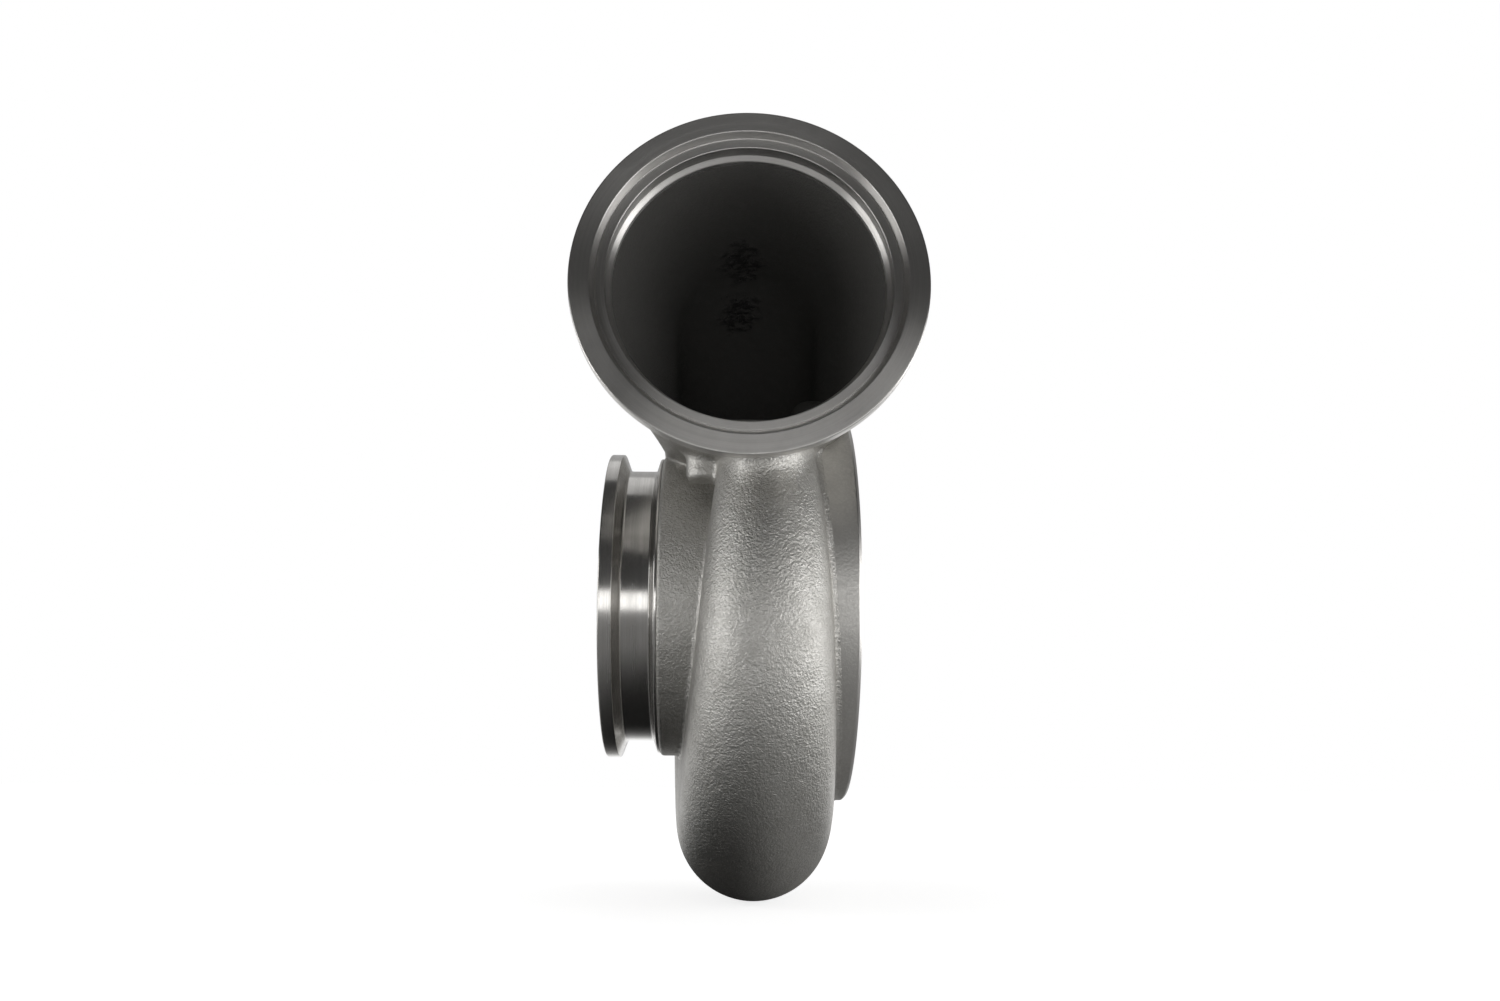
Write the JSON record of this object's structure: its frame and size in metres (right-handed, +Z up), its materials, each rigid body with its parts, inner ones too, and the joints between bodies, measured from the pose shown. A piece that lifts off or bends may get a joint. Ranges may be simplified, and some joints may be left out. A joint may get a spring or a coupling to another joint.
{
  "type": "turbine housing",
  "caption": "Cast turbine housing: a tapering scroll with a V-band gas inlet, a V-band outlet on a short neck, and a bolted centre-housing ring.",
  "frame": {"origin": "on the turbine axis, in the plane of the mating face for the centre housing", "axes": "+X along the turbine axis towards the centre housing, +Z up, and the inlet opening faces -Y"},
  "size_m": [0.092, 0.1819, 0.2061],
  "materials": {
    "cast_stainless": "bead-blasted investment-cast stainless steel with a fine pebbled skin",
    "machined_stainless": "turned stainless steel with fine rings round the axis",
    "ring_stainless": "bead-blasted outside with machined mating faces",
    "shroud_stainless": "bored and contour-turned",
    "insert_steel": "bright drawn",
    "dowel_steel": "ground"
  },
  "bodies": {
    "root": {"scroll_casting": "cast_stainless", "inlet_vband_flange": "machined_stainless", "outlet_vband_flange": "machined_stainless", "centre_housing_ring": "ring_stainless", "turbine_shroud": "shroud_stainless", "thread_inserts": "insert_steel", "locating_dowel": "dowel_steel"}
  },
  "joints": []
}
